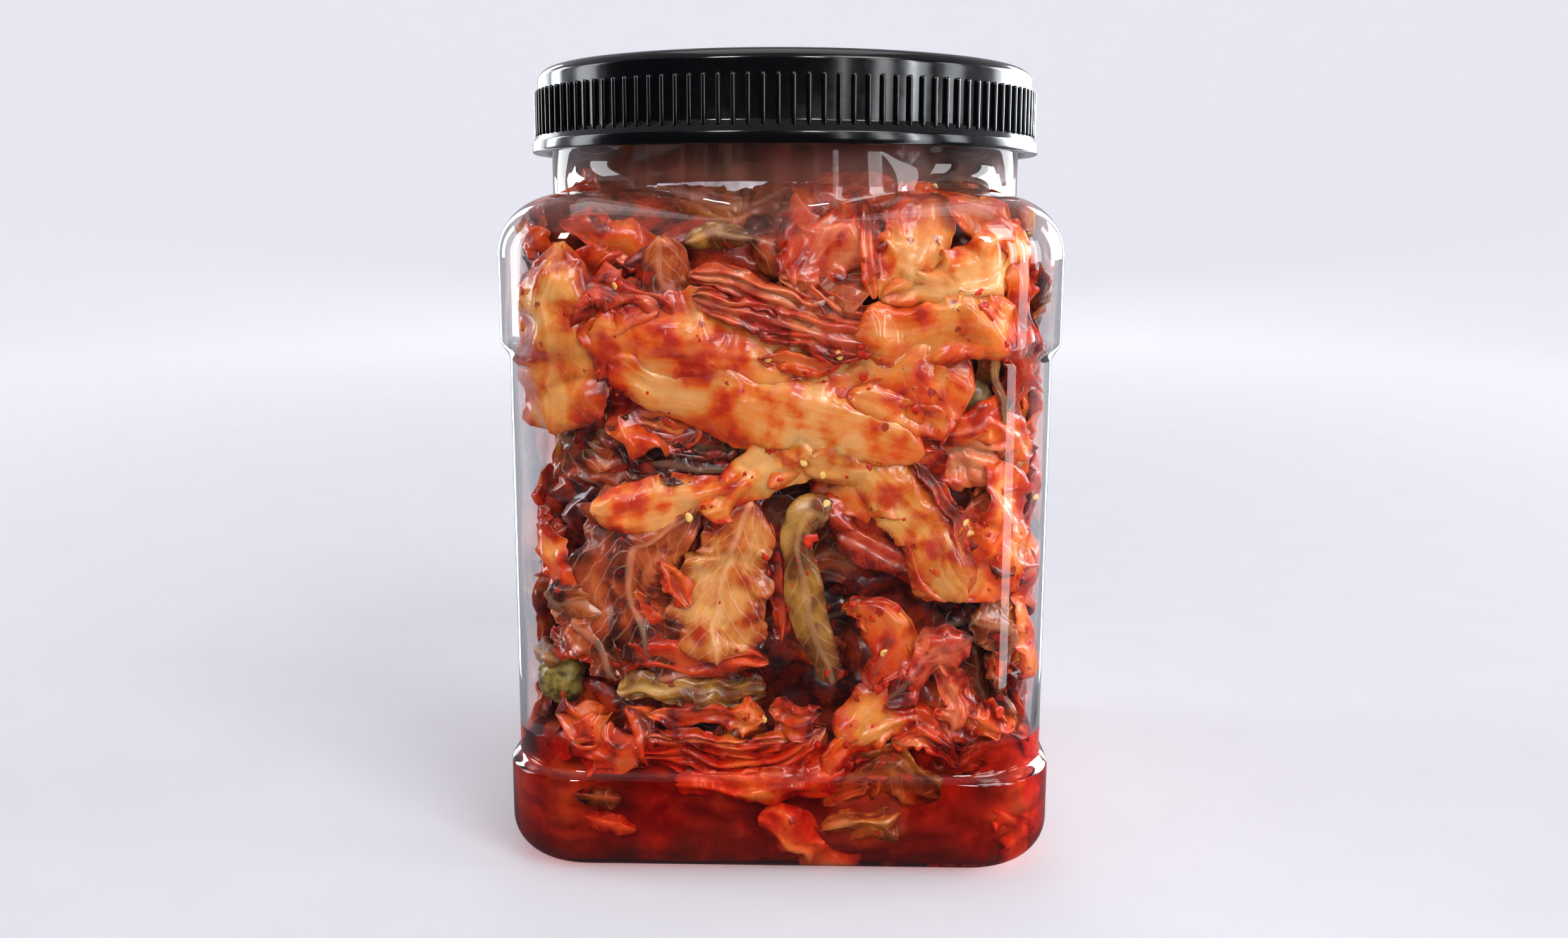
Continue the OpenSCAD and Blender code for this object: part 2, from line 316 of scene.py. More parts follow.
def cabbage(pile, kind, look, wide, thick, deep, spots, steps, around, side=0, tilt=0):
    """One closed piece of cabbage swept through spots behind a wall, as on_face() has them, with its
    broad face towards the wall but tilted about its length, in degrees."""
    form, paint = KINDS[kind], LOOKS[look]
    line, out = on_face(spots, deep, side)
    spine, face = flow(line, steps), unit(flow(out, steps))
    length = np.linalg.norm(np.diff(spine, axis=0), axis=1).sum()
    share = np.linspace(0, 1, steps)
    along = unit(np.gradient(spine, axis=0))
    face = unit(face - (face * along).sum(1, keepdims=True) * along)
    lean = np.radians(tilt) * np.ones((steps, 1))
    upright, sideways = face, np.cross(along, face)
    face = upright * np.cos(lean) + sideways * np.sin(lean)
    sideways = sideways * np.cos(lean) - upright * np.sin(lean)

    def wave(wavelength):
        """Random wave of about -1 to 1 along the piece."""
        phase = rng.uniform(0, 2 * math.pi, 3)
        turns = share * length / wavelength * 2 * math.pi
        total = np.sin(turns + phase[0]) + 0.6 * np.sin(1.7 * turns + phase[1])
        return (total + 0.4 * np.sin(3.1 * turns + phase[2])) / 1.6

    # Outline: half the width to the right and to the left of the spine, with round ends
    to_end = np.clip(np.minimum(share, 1 - share) * length / (form.tip * wide + 0.5), 0, 1)
    rounded = np.sqrt(1 - (1 - to_end) ** 2) * 0.96 + 0.04
    half = flow(form.shape, steps) * wide / 2 * rounded
    right = half * (1 + form.rag * (wave(11) + 0.35 * wave(3.5)))
    left = half * (1 + form.rag * (wave(11) + 0.35 * wave(3.5)))

    # Section: a is -1 to 1 from edge to edge, and b is -1 to 1 from the back to the face
    angle = full_turn(around)
    a, b = np.cos(angle), np.sin(angle)
    across = np.where(a > 0, right[:, None] * a, left[:, None] * a)
    body = form.edge + (1 - form.edge) * (1 - np.abs(a) ** 3)
    depth = thick * body * (0.35 + 0.65 * rounded[:, None])
    rise = 0.5 * depth * np.sign(b) * np.abs(b) ** 0.6
    wander = wave(26)[:, None] * 0.8 + rng.uniform(0, 2 * math.pi)
    folds = form.fold * np.sin(form.folds * math.pi / 2 * a * (1 + 0.15 * wave(20)[:, None]) + wander)
    folds += 0.35 * form.fold * np.sin(form.folds * 2.3 * a + 2 * wander)
    ruffle_right = form.frill * wave(8)[:, None] * np.maximum(a, 0) ** 2
    ruffle_left = form.frill * wave(8)[:, None] * np.maximum(-a, 0) ** 2
    cup = rng.uniform(-0.12, 0.04) * wide * (a ** 2 - 0.4)
    middle = folds + ruffle_right + ruffle_left + cup

    points = spine[:, None] + sideways[:, None] * across[..., None]
    points = points + face[:, None] * (middle + rise)[..., None]
    hill, wrinkle = 17, 5
    shove = np.stack([ripple(points, hill) for _ in range(3)], -1)
    crease = ripple(points, wrinkle)[..., None] * face[:, None]
    points = settle(points + (shove * form.swell + 0.22 * crease * form.frill) * min(1, wide / 9))

    # Colour: strand holds the place across and along the piece, and a number of its own
    tone = flow((paint.start, paint.middle, paint.end), steps)[:, None] + paint.edge * np.abs(a) ** 3
    tone = tone + rng.uniform(-0.04, 0.04)
    flat = np.ones_like(across)
    strand = np.stack([across, flat * (share * length)[:, None], flat * rng.uniform(0, 90)], -1)
    pile.add(points, tone=tone, pink=flat * paint.pink, olive=flat * paint.olive,
             veins=flat * paint.veins, strand=strand)


slabs, leaves, side_slabs, side_leaves, inner_leaves, deep_leaves, sunk_leaves = (Pile() for _ in range(7))


def lay(piece, wide, thick, deep, *spots):
    """A piece at the front wall, through spots as on_face() has them."""
    kind, look = piece.split()
    if kind in SMOOTH_KINDS:
        cabbage(slabs, kind, look, wide, thick, deep, spots, 56, 40)
    else:
        pile = sunk_leaves if max(height for _, height in spots) < SUNK else leaves
        cabbage(pile, kind, look, wide, thick, deep, spots, 44, 32)


def lay_top():
    """Front pieces from the long pale slab up into the neck."""
    lay("slab pale", 17.5, 5, 1.8, (-0.63, 0.79), (-0.3, 0.735), (0.03, 0.69), (0.28, 0.655), (0.52, 0.62))
    lay("sheet peach", 26, 3, 3.2, (-0.66, 0.85), (-0.35, 0.82), (0, 0.79), (0.3, 0.77), (0.62, 0.75))
    lay("fan orange", 22, 2.2, 2.6, (0.16, 0.77), (0.34, 0.775), (0.52, 0.765), (0.68, 0.75))
    lay("fan peach", 11, 2.4, 1.6, (0.26, 0.73), (0.44, 0.71), (0.62, 0.69))
    lay("fan orange", 14, 1.8, 1.8, (0.84, 0.905), (0.7, 0.875), (0.5, 0.855), (0.28, 0.85))
    lay("curl red", 7, 1.2, 0.9, (0.63, 0.905), (0.68, 0.88), (0.71, 0.85))
    lay("frill rose", 11, 2.8, 3.4, (-0.73, 0.85), (-0.66, 0.93), (-0.52, 0.93), (-0.4, 0.88))
    lay("frill flame", 8, 2.6, 2.4, (-0.68, 0.8), (-0.62, 0.86), (-0.54, 0.92))
    lay("curl orange", 6.5, 2.4, 1.7, (-0.58, 0.85), (-0.5, 0.88), (-0.41, 0.89))
    lay("pleat rose", 7, 2, 4, (-0.3, 0.97), (-0.13, 0.94), (0.05, 0.9), (0.24, 0.87))
    lay("pleat rose", 7, 2, 2.2, (-0.28, 0.92), (-0.08, 0.89), (0.12, 0.85), (0.36, 0.82))
    lay("frill red", 3.6, 1.6, 1.4, (-0.08, 0.86), (0.1, 0.84), (0.22, 0.81), (0.34, 0.82))
    lay("pleat rose", 7, 2, 4, (0, 0.95), (0.13, 0.92), (0.25, 0.88), (0.4, 0.85))
    lay("frill flame", 4.6, 1.4, 1.4, (-0.07, 0.8), (0.06, 0.79), (0.2, 0.78))
    lay("fan peach", 13, 2.4, 3.6, (0.36, 0.92), (0.55, 0.95), (0.74, 0.99), (0.92, 1.03))
    lay("fan peach", 11, 2, 3.4, (0.34, 0.9), (0.41, 0.98), (0.49, 1.05), (0.58, 1.12))
    lay("curl flame", 3.4, 1.6, 3.4, (0.33, 0.92), (0.31, 1.0), (0.34, 1.1))
    lay("pleat rose", 14, 2.4, 6, (0.05, 0.92), (0.14, 0.98), (0.22, 1.04), (0.26, 1.12))
    lay("frill red", 8, 2, 5, (0.3, 1.06), (0.4, 1.12), (0.5, 1.15))
    lay("fan golden", 21, 4, 3.6, (-0.76, 1.02), (-0.8, 0.89), (-0.83, 0.77), (-0.83, 0.64))
    lay("fan golden", 10, 2.4, 3.8, (-1.0, 0.7), (-0.93, 0.63), (-0.82, 0.6), (-0.64, 0.62))
    lay("frill red", 9, 2, 7, (-0.93, 0.88), (-0.8, 0.97), (-0.5, 1.0))
    lay("frill flame", 8, 2, 8, (-0.8, 1.06), (-0.6, 1.04), (-0.4, 1.01))
    lay("curl olive", 6, 2, 8, (-0.34, 1.02), (-0.23, 1.04), (-0.1, 1.03))
    lay("frill brown", 9, 2, 9, (-0.5, 1.12), (-0.2, 1.1), (0.1, 1.12))
    lay("pleat flame", 8, 2.4, 5, (0.84, 1.06), (0.9, 0.96), (0.9, 0.84), (0.88, 0.7))
    lay("fan orange", 9, 2, 5, (0.97, 0.84), (0.99, 0.72), (0.99, 0.6), (0.98, 0.46))
    lay("frill flame", 9, 2, 5, (0.6, 1.08), (0.74, 1.08), (0.88, 1.06))
    lay("stem olive", 1.7, 1.4, 2.4, (0.77, 0.83), (0.79, 0.77), (0.83, 0.72), (0.84, 0.67))


def lay_middle():
    """Front pieces of the crossed stems, the veined leaves and the hooked stem."""
    lay("fan red", 9, 1.8, 5.4, (-0.7, 0.75), (-0.45, 0.71), (-0.2, 0.66))
    lay("pleat plum", 14, 2, 6, (-0.66, 0.63), (-0.35, 0.62), (-0.02, 0.63))
    lay("pleat mauve", 13, 2, 7, (-0.9, 0.62), (-0.7, 0.6), (-0.4, 0.6))
    lay("frill plum", 8, 2, 5.4, (-0.46, 0.58), (-0.2, 0.59), (0.04, 0.6))
    lay("slab peach", 11, 3, 2.8, (-0.67, 0.49), (-0.5, 0.5), (-0.32, 0.515), (-0.1, 0.54))
    lay("sheet pale", 10, 2.8, 2, (-0.29, 0.48), (-0.14, 0.54), (0, 0.59), (0.14, 0.63))
    lay("curl flame", 5.4, 2.6, 2.6, (-0.03, 0.54), (0.06, 0.57), (0.18, 0.6))
    lay("sheet golden", 13, 4.4, 2.2, (0.12, 0.6), (0.32, 0.565), (0.48, 0.51), (0.58, 0.42), (0.63, 0.31))
    lay("frill flame", 7.5, 2.6, 1.7, (0.48, 0.41), (0.56, 0.375), (0.62, 0.32))
    lay("frill pink", 3.8, 1.8, 2, (0.48, 0.59), (0.58, 0.54), (0.65, 0.47), (0.68, 0.39))
    lay("stem rose", 7, 3, 4.8, (0.22, 0.44), (0.38, 0.4), (0.54, 0.35))
    lay("curl red", 7, 2.6, 4.4, (0.12, 0.49), (0.2, 0.48), (0.28, 0.45))
    lay("pleat mauve", 23, 2, 4.4, (-0.32, 0.5), (-0.5, 0.42), (-0.54, 0.31), (-0.46, 0.16))
    lay("sheet tan", 20, 2, 2.4, (-0.12, 0.5), (-0.18, 0.39), (-0.22, 0.29), (-0.24, 0.16))
    lay("frill flame", 5.4, 1.6, 1.8, (-0.44, 0.38), (-0.38, 0.34), (-0.32, 0.28))
    lay("stem olive", 7.6, 4.4, 2.4,
        (0.19, 0.48), (0.12, 0.49), (0.07, 0.43), (0.09, 0.34), (0.15, 0.23), (0.21, 0.12))
    lay("frill red", 5.4, 1.8, 4.4, (-0.02, 0.46), (0, 0.34), (0.02, 0.2))
    lay("sheet orange", 8.5, 2.4, 3.4, (0.6, 0.665), (0.74, 0.675), (0.88, 0.665), (0.97, 0.61))
    lay("pleat rose", 14, 2, 4.2, (0.5, 0.6), (0.66, 0.61), (0.82, 0.6), (0.97, 0.57))
    lay("sheet peach", 15, 2.4, 2.6, (0.85, 0.59), (0.86, 0.48), (0.81, 0.39), (0.68, 0.3))
    lay("sheet orange", 8, 2.4, 3, (0.99, 0.56), (0.99, 0.42), (0.98, 0.28), (0.98, 0.12))
    lay("curl pale", 4.2, 2.2, 1.6, (0.66, 0.44), (0.7, 0.455), (0.75, 0.45))
    lay("frill red", 6, 2, 4.4, (0.78, 0.47), (0.79, 0.41), (0.76, 0.35))
    lay("stem golden", 4.4, 2.6, 2.4, (-1.0, 0.43), (-0.93, 0.34), (-0.83, 0.25))
    lay("fan brown", 10, 1.8, 4, (-0.92, 0.32), (-0.78, 0.29), (-0.6, 0.27))
    lay("frill mauve", 8, 1.8, 4, (-0.78, 0.26), (-0.7, 0.2), (-0.62, 0.13))
    lay("fan flame", 9, 2, 3.6, (-1.0, 0.56), (-0.86, 0.55), (-0.68, 0.51))
    lay("fan orange", 8, 1.8, 4.4, (-0.97, 0.49), (-0.92, 0.4), (-0.86, 0.31))


def lay_foot():
    """Front pieces from the red curl down into the brine."""
    lay("frill flame", 9.5, 3.2, 2.6, (0.28, 0.27), (0.35, 0.27), (0.4, 0.21), (0.39, 0.11))
    lay("frill orange", 7, 2.4, 1.8, (0.4, 0.21), (0.45, 0.18), (0.5, 0.14))
    lay("curl orange", 10.5, 3, 2.4, (0.42, 0.14), (0.34, 0.07), (0.22, 0))
    lay("fan orange", 9, 2.4, 2.6, (0.62, 0.03), (0.49, 0.05), (0.37, 0.03), (0.27, -0.02), (0.16, -0.07))
    lay("frill pink", 10, 2.2, 3.4, (0.4, 0.1), (0.52, 0.15), (0.62, 0.19), (0.72, 0.21))
    lay("frill rose", 8, 2, 4.2, (0.6, 0.19), (0.68, 0.1), (0.64, 0.03))
    lay("frill brown", 11, 2, 5.4, (0.73, 0.28), (0.86, 0.25), (0.94, 0.15), (0.9, 0.04))
    lay("frill flame", 7, 2, 4.4, (0.68, 0.06), (0.82, 0.04), (0.98, 0.02))
    lay("frill red", 7.5, 1.8, 5, (-0.96, 0.18), (-0.8, 0.2), (-0.66, 0.16))
    lay("frill flame", 12, 2.8, 2.2, (-0.84, 0.07), (-0.76, 0.02), (-0.67, -0.02), (-0.54, -0.06))
    lay("curl pale", 4.4, 1.6, 1, (-0.77, 0), (-0.72, -0.01), (-0.67, -0.01))
    lay("fan olive", 8.5, 1.8, 3.6, (-0.6, 0.11), (-0.43, 0.11), (-0.25, 0.1), (-0.04, 0.12))
    lay("frill flame", 8, 2.2, 3.2, (-0.48, 0.05), (-0.25, 0.055), (-0.05, 0.04))
    lay("frill red", 8.5, 2.2, 2.8, (-0.06, 0.08), (0.04, 0.06), (0.16, 0.05))
    lay("frill flame", 9, 2, 4.4, (-0.68, 0.16), (-0.5, 0.18), (-0.3, 0.17), (-0.06, 0.16))
    lay("pleat orange", 6.5, 2, 2.4,
        (-0.56, -0.05), (-0.35, -0.03), (-0.17, -0.05), (0.03, -0.03), (0.2, 0.02))
    lay("pleat orange", 4.6, 1.8, 2.8, (-0.5, 0.01), (-0.3, 0), (-0.12, -0.02), (0.06, 0))
    lay("sheet orange", 8, 2, 2.6, (-0.36, -0.09), (-0.14, -0.09), (0.06, -0.08), (0.24, -0.04))
    lay("frill flame", 7, 1.8, 3.6, (-0.58, 0.07), (-0.51, 0.01), (-0.46, -0.05))
    lay("fan olive", 11, 1.8, 3, (0.18, -0.11), (0.32, -0.07), (0.45, -0.07), (0.6, -0.1))
    lay("frill flame", 7, 2, 2.4, (0.42, 0.01), (0.56, 0), (0.68, -0.05))
    lay("fan brown", 9, 1.8, 4.4, (0.62, -0.06), (0.75, -0.04), (0.97, -0.03))


def lay_sunk():
    """Leaves that show near the wall inside the brine."""
    lay("fan pale", 9, 2.4, 3, (-0.06, -0.16), (0.08, -0.2), (0.18, -0.25), (0.29, -0.32))
    lay("fan olive", 10, 1.8, 2.8, (0.18, -0.19), (0.31, -0.17), (0.46, -0.14))
    lay("fan golden", 8, 2, 4.2, (0.78, -0.14), (0.9, -0.19), (0.97, -0.24))
    lay("frill flame", 7, 2, 4.4, (0.62, -0.26), (0.74, -0.27), (0.88, -0.25))
    lay("frill orange", 7, 2, 4.6, (0.3, -0.3), (0.5, -0.28), (0.7, -0.29))
    lay("curl green", 4.4, 1.4, 2.4, (-0.75, -0.11), (-0.66, -0.12), (-0.57, -0.12))
    lay("curl tan", 5, 1.6, 4, (-0.74, -0.16), (-0.63, -0.18), (-0.52, -0.19))


def way_over_face(turn):
    """One millimetre over a face, at an angle in radians from level, in shares as on_face() has."""
    return np.array([math.cos(turn) / INNER_HALF, math.sin(turn) / FACE_H])


def scatter_sides():
    """Layered pieces at the other three walls, of the same kinds and colours as at the front."""
    choices = [
        ("slab pale", 17, 5), ("slab peach", 16, 4.6), ("sheet golden", 18, 3),
        ("stem pale", 9, 4), ("stem olive", 7, 3.6), ("fan orange", 19, 2.6),
        ("sheet tan", 20, 2), ("fan peach", 20, 2.4), ("pleat rose", 15, 2),
        ("pleat mauve", 20, 2), ("frill red", 13, 2.4), ("frill flame", 12, 2.4),
        ("frill pink", 11, 2), ("fan orange", 14, 1.8), ("curl orange", 9, 2.6),
        ("fan flame", 14, 1.8)]
    rows, columns = 8, 5
    across, up, lowest = 1.9, 1.22, -0.12
    level_share, lean, bow = 0.7, 0.6, 0.35
    for side, row, column in itertools.product((1, 2, 3), range(rows), range(columns)):
        piece, wide, thick = choices[(row * 7 + column * 5 + side * 3) % len(choices)]
        kind, look = piece.split()
        middle = np.array([(column + rng.uniform(0.1, 0.9)) / columns * across - across / 2,
                           (row + rng.uniform(0.1, 0.9)) / rows * up + lowest])
        turn = rng.normal(0, lean) if rng.random() < level_share else rng.uniform(0, math.pi)
        way = way_over_face(turn)
        reach = rng.uniform(0.9, 1.5) * (7 + wide * 0.55)
        bend = rng.uniform(-bow, bow) * np.array([-way[1], way[0]]) * reach
        spots = [middle - way * reach, middle + bend, middle + way * reach]
        spots = np.clip(spots, (-1.02, -0.14), (1.02, 1.13))
        deep = thick / 2 + rng.uniform(0, 4.5)
        pile = side_slabs if kind in SMOOTH_KINDS else side_leaves
        cabbage(pile, kind, look, wide, thick, deep, spots, 34, 28, side, rng.normal(0, 9))


def scatter_inner(pile, count, deep, wide, looks, steps, around):
    """Crumpled leaves that fill in behind the pieces at every wall, and round the neck."""
    for side, _ in itertools.product(range(4), range(count)):
        middle = np.array([rng.uniform(-0.95, 0.95), rng.uniform(-0.08, 1.14)])
        way = way_over_face(rng.normal(0, 0.6))
        reach = rng.uniform(8, 15)
        spots = [middle - way * reach, middle, middle + way * reach]
        spots = np.clip(spots, (-1.02, -0.1), (1.02, 1.16))
        depth = rng.uniform(*deep)
        kind = ("frill", "pleat", "fan", "fan")[rng.integers(4)]
        look = looks[rng.integers(len(looks))]
        width = rng.uniform(*wide)
        cabbage(pile, kind, look, width, 1.8, depth, spots, steps, around, side, rng.normal(0, 14))


def lumpy(low, high, inset, relief, size):
    """Rings of a closed uneven body that follows the jar's inside, inset behind it, from low to high."""
    turns = np.linspace(0, 360, 150, endpoint=False)
    rings = np.array([ring(turns, reach_in(turns, z) - inset, z) for z in np.linspace(low, high, 60)])
    shove = ripple(rings, size, 3) + 0.6 * np.abs(ripple(rings, size * 0.4))
    rings += unit(rings * (1, 1, 0)) * (shove * relief)[..., None]
    return rings


def make_core(material):
    """The heap's inside, behind the leaves."""
    rings = lumpy(BRINE_Z - 3, NECK_Z - 1, 13.5, 3, 16)
    flat = np.ones(rings.shape[:2])
    core = Pile()
    core.add(rings, tone=flat * 0.72, pink=flat * 0.7, olive=flat * 0.1, veins=flat * 0, strand=rings)
    core.make("packed_core", material, "kimchi")


# ---- Materials ----

def srgb(red, green, blue):
    """Linear colour of a screen colour given from 0 to 255."""
    shares = [channel / 255 for channel in (red, green, blue)]
    return [s / 12.92 if s <= 0.04045 else ((s + 0.055) / 1.055) ** 2.4 for s in shares] + [1]


class Shader:
    """A material whose nodes are written one after another."""

    def __init__(self, name):
        self.material = bpy.data.materials.new(name)
        self.material.use_nodes = True
        self.tree = self.material.node_tree
        self.tree.nodes.clear()

    def node(self, kind, inputs, **settings):
        made = self.tree.nodes.new("ShaderNode" + kind)
        for key, value in settings.items():
            setattr(made, key, value)
        for key, value in inputs.items():
            if isinstance(value, bpy.types.NodeSocket):
                self.tree.links.new(value, made.inputs[key])
            else:
                made.inputs[key].default_value = value
        return made

    def value(self, name):
        """A named number at the mesh's points."""
        return self.node("Attribute", {}, attribute_name=name).outputs["Fac"]

    def vector(self, name):
        return self.node("Attribute", {}, attribute_name=name).outputs["Vector"]

    def place(self):
        """Position on the object in millimetres."""
        spot = self.node("TexCoord", {}).outputs["Object"]
        return self.node("VectorMath", {0: spot, "Scale": 1000.0}, operation="SCALE").outputs[0]

    def maths(self, operation, a, b=0.0, clamp=False):
        return self.node("Math", {0: a, 1: b}, operation=operation, use_clamp=clamp).outputs[0]

    def noise(self, vector, scale, detail=4.0, roughness=0.6):
        inputs = {"Vector": vector, "Scale": scale, "Detail": detail, "Roughness": roughness}
        return self.node("TexNoise", inputs).outputs["Fac"]

    def span(self, value, low, high, to_low=0.0, to_high=1.0):
        """Goes smoothly from to_low to to_high as value goes from low to high."""
        inputs = {"Value": value, "From Min": low, "From Max": high, "To Min": to_low, "To Max": to_high}
        return self.node("MapRange", inputs, interpolation_type="SMOOTHSTEP").outputs[0]

    def times(self, vector, factors):
        return self.node("VectorMath", {0: vector, 1: factors}, operation="MULTIPLY").outputs[0]

    def ramp(self, value, *stops):
        made = self.node("ValToRGB", {"Fac": value})
        elements = made.color_ramp.elements
        for at, colour in stops[2:]:
            elements.new(at)
        for element, (at, colour) in zip(elements, stops):
            element.position = at
            element.color = srgb(*colour)
        return made.outputs[0]

    def mix(self, share, a, b):
        return self.node("Mix", {0: share, 6: a, 7: b}, data_type="RGBA").outputs[2]

    def bump(self, height, strength, distance):
        """Normal of a relief, whose distance is in millimetres."""
        inputs = {"Height": height, "Strength": strength, "Distance": distance / 1000}
        return self.node("Bump", inputs).outputs[0]

    def surface(self, **inputs):
        named = {key.replace("_", " "): value for key, value in inputs.items()}
        return self.node("BsdfPrincipled", named).outputs[0]

    def finish(self, shader, volume=None):
        out = self.node("OutputMaterial", {"Surface": shader})
        if volume is not None:
            self.tree.links.new(volume, out.inputs["Volume"])
        return self.material

    def lets_light_through(self, glass, tint):
        """The glass itself, but clear to the light that goes through it to what stands behind."""
        clear = self.node("BsdfTransparent", {"Color": tint}).outputs[0]
        shadow = self.node("LightPath", {}).outputs["Is Shadow Ray"]
        return self.node("MixShader", {0: shadow, 1: glass, 2: clear}).outputs[0]


def leaf_veins(s, strand, waver):
    """A midrib and side veins that slant from it, as strong as the value veins says."""
    parts = s.node("SeparateXYZ", {0: strand})
    slant = s.maths("MULTIPLY", s.maths("ABSOLUTE", parts.outputs[0]), 1.1)
    run = s.maths("SUBTRACT", parts.outputs[1], slant)
    run = s.maths("ADD", s.maths("MULTIPLY", run, 0.3), s.maths("MULTIPLY", waver, 3))
    branch = s.maths("ABSOLUTE", s.maths("SUBTRACT", s.maths("FRACT", run), 0.5))
    branch = s.span(branch, 0, 0.1, 1, 0)
    midrib = s.span(s.maths("ABSOLUTE", parts.outputs[0]), 0.2, 0.9, 1, 0)
    return s.maths("MULTIPLY", s.maths("MAXIMUM", branch, midrib), s.value("veins"))


def chilli_specks(s, place):
    """Ragged specks in a few cells of a bent cell pattern."""
    bent = s.node("TexNoise", {"Vector": place, "Scale": 0.9, "Detail": 3}).outputs["Color"]
    inputs = {0: bent, 1: (2.4, 2.4, 2.4), 2: place}
    bent = s.node("VectorMath", inputs, operation="MULTIPLY_ADD").outputs[0]
    cell = s.node("TexVoronoi", {"Vector": bent, "Scale": 0.22})
    chance = s.node("SeparateColor", {0: cell.outputs["Color"]}).outputs[0]
    grown = s.maths("SUBTRACT", cell.outputs["Distance"], s.maths("MULTIPLY", chance, 0.24))
    return s.span(grown, -0.08, 0, 0.85, 0)


def cabbage_finish():
    """Wet cabbage in chilli paste. Its colour follows the values tone, pink, olive and veins."""
    s = Shader("wet_cabbage")
    wetness = 0.12
    place, strand = s.place(), s.vector("strand")
    streak = s.noise(s.times(strand, (0.75, 0.045, 1)), 1, 3, 0.55)
    blotch = s.noise(place, 0.085, 2, 0.5)
    fine = s.noise(place, 0.5, 3, 0.5)
    clump = s.noise(place, 0.17, 3, 0.5)

    stain = s.span(clump, 0.46, 0.68, -0.05, 0.25)
    shift = s.maths("ADD", s.span(blotch, 0.3, 0.7, -0.16, 0.26), s.span(streak, 0.3, 0.7, -0.06, 0.09))
    shift = s.maths("ADD", shift, stain)
    tone = s.maths("ADD", s.value("tone"), shift, clamp=True)
    stem = s.ramp(tone, (0, (224, 158, 91)), (0.2, (217, 126, 49)), (0.42, (209, 82, 16)),
                  (0.68, (186, 43, 6)), (1, (92, 10, 4)))
    rosy = s.ramp(tone, (0, (220, 132, 88)), (0.3, (199, 79, 45)), (0.52, (168, 36, 22)),
                  (0.75, (88, 20, 16)), (1, (36, 7, 9)))
    olive = s.ramp(tone, (0, (198, 160, 84)), (0.3, (146, 108, 38)), (0.55, (92, 68, 24)),
                   (1, (36, 24, 12)))
    colour = s.mix(s.value("pink"), stem, rosy)
    colour = s.mix(s.value("olive"), colour, olive)

    net = leaf_veins(s, strand, blotch)
    colour = s.mix(s.maths("MULTIPLY", net, 0.28), colour, srgb(240, 186, 140))
    paste = s.span(clump, 0.62, 0.7, 0, 0.65)
    colour = s.mix(paste, colour, srgb(176, 34, 12))
    colour = s.mix(chilli_specks(s, place), colour, srgb(142, 18, 8))

    height = s.maths("ADD", s.maths("MULTIPLY", streak, 0.7), s.maths("MULTIPLY", fine, 0.45))
    height = s.maths("ADD", height, s.maths("MULTIPLY", net, 0.3))
    return s.finish(s.surface(
        Base_Color=colour, Roughness=s.span(fine, 0.3, 0.7, wetness, wetness + 0.2),
        Normal=s.bump(height, 0.35, 0.5), Coat_Weight=1, Coat_Roughness=0.04, IOR=1.42,
        Subsurface_Weight=0.3, Subsurface_Radius=(1, 0.35, 0.12), Subsurface_Scale=0.003))


def clear_plastic_finish():
    s = Shader("clear_plastic")
    glass = s.surface(Base_Color=srgb(250, 251, 252), Transmission_Weight=1, Roughness=0.015, IOR=1.5)
    return s.finish(s.lets_light_through(glass, srgb(246, 247, 249)))


def black_plastic_finish():
    s = Shader("black_plastic")
    fine = s.noise(s.place(), 0.5, 3, 0.5)
    return s.finish(s.surface(
        Base_Color=s.mix(fine, srgb(5, 5, 7), srgb(9, 9, 12)), Roughness=s.span(fine, 0.3, 0.7, 0.13, 0.17),
        Normal=s.bump(fine, 0.04, 0.05), IOR=1.5))


def brine_finish():
    s = Shader("brine_red")
    liquid = s.surface(Base_Color=srgb(255, 236, 226), Transmission_Weight=1, Roughness=0.02, IOR=1.34)
    volume = s.node("VolumeAbsorption", {"Color": (0.92, 0.28, 0.04, 1), "Density": 330}).outputs[0]
    return s.finish(s.lets_light_through(liquid, (1, 0.9, 0.85, 1)), volume)


def cloud_finish():
    """The chilli sediment that makes the brine opaque a little way in."""
    s = Shader("brine_cloud")
    place = s.place()
    blotch = s.noise(place, 0.09, 4, 0.55)
    colour = s.ramp(blotch, (0.28, (70, 18, 3)), (0.5, (132, 48, 8)), (0.74, (196, 124, 34)))
    return s.finish(s.surface(Base_Color=colour, Roughness=0.6))


def smear_and_shade_finish():
    s = Shader("neck_smear_and_shade")
    place = s.place()
    blotch = s.noise(place, 0.07, 6, 0.62)
    run = s.noise(s.times(place, (0.35, 0.35, 0.03)), 1, 4, 0.6)
    # The film's own brownish red, made darker in part as painted shade for the little light that reaches
    # the neck from inside
    colour = s.ramp(blotch, (0.3, (178, 122, 92)), (0.5, (156, 78, 54)), (0.7, (124, 36, 22)))
    film = s.maths("ADD", s.span(blotch, 0.35, 0.68, 0.04, 0.26), s.span(run, 0.5, 0.75, 0, 0.2))
    height = s.node("SeparateXYZ", {0: place}).outputs[2]
    rise = s.span(height, SHOULDER_Z + 2, NECK_Z + 3)
    return s.finish(s.surface(Base_Color=colour, Roughness=0.35, Alpha=s.maths("MULTIPLY", film, rise)))


def speckled_finish(name, dark, light, roughness, scale=0.6):
    """A slightly glossy surface that varies between two colours."""
    s = Shader(name)
    fine = s.noise(s.place(), scale, 4, 0.6)
    colour = s.mix(s.span(fine, 0.35, 0.65), srgb(*dark), srgb(*light))
    return s.finish(s.surface(
        Base_Color=colour, Roughness=roughness, Normal=s.bump(fine, 0.4, 0.4), IOR=1.42,
        Coat_Weight=0.3, Coat_Roughness=0.06))


# ---- Jar, lid, brine and green pieces ----

